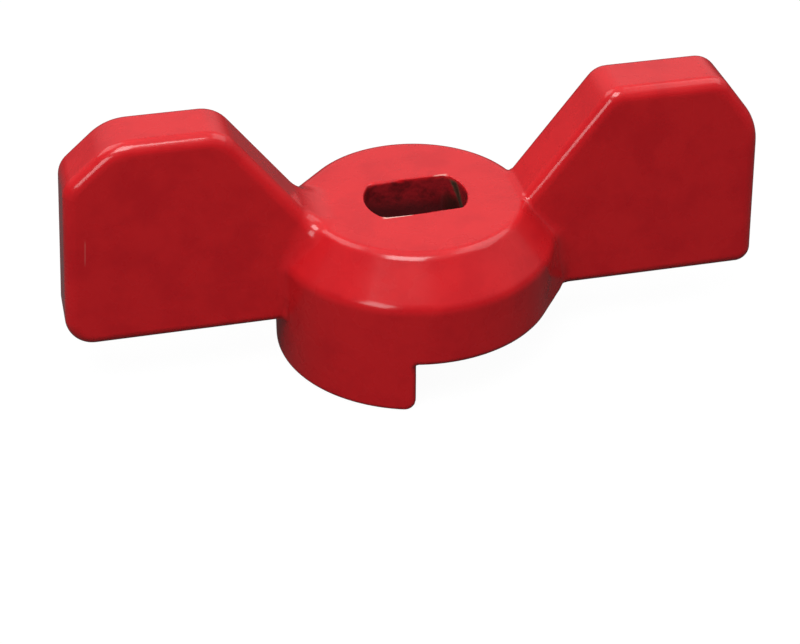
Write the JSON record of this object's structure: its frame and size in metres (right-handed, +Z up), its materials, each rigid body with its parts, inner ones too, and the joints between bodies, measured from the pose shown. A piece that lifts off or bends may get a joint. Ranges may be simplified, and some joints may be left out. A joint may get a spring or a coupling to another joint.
{
  "type": "wing valve handle",
  "caption": "Cast wing handle for a small ball valve: a coned hub with a double-D stem slot, two flat finger wings and a quarter-turn stop skirt.",
  "frame": {"origin": "on the stem axis, at the lower edge of the stop skirt, on which the handle stands", "axes": "+Z up along the stem axis, out of the hub's top face; X along the two wings, -X to the left wing as pictured; -Y towards the viewer of the picture"},
  "size_m": [0.06, 0.024, 0.023],
  "materials": {
    "coating": "gloss red powder coat, lightly orange-peeled"
  },
  "bodies": {
    "root": {"wing_handle": "coating"}
  },
  "joints": []
}
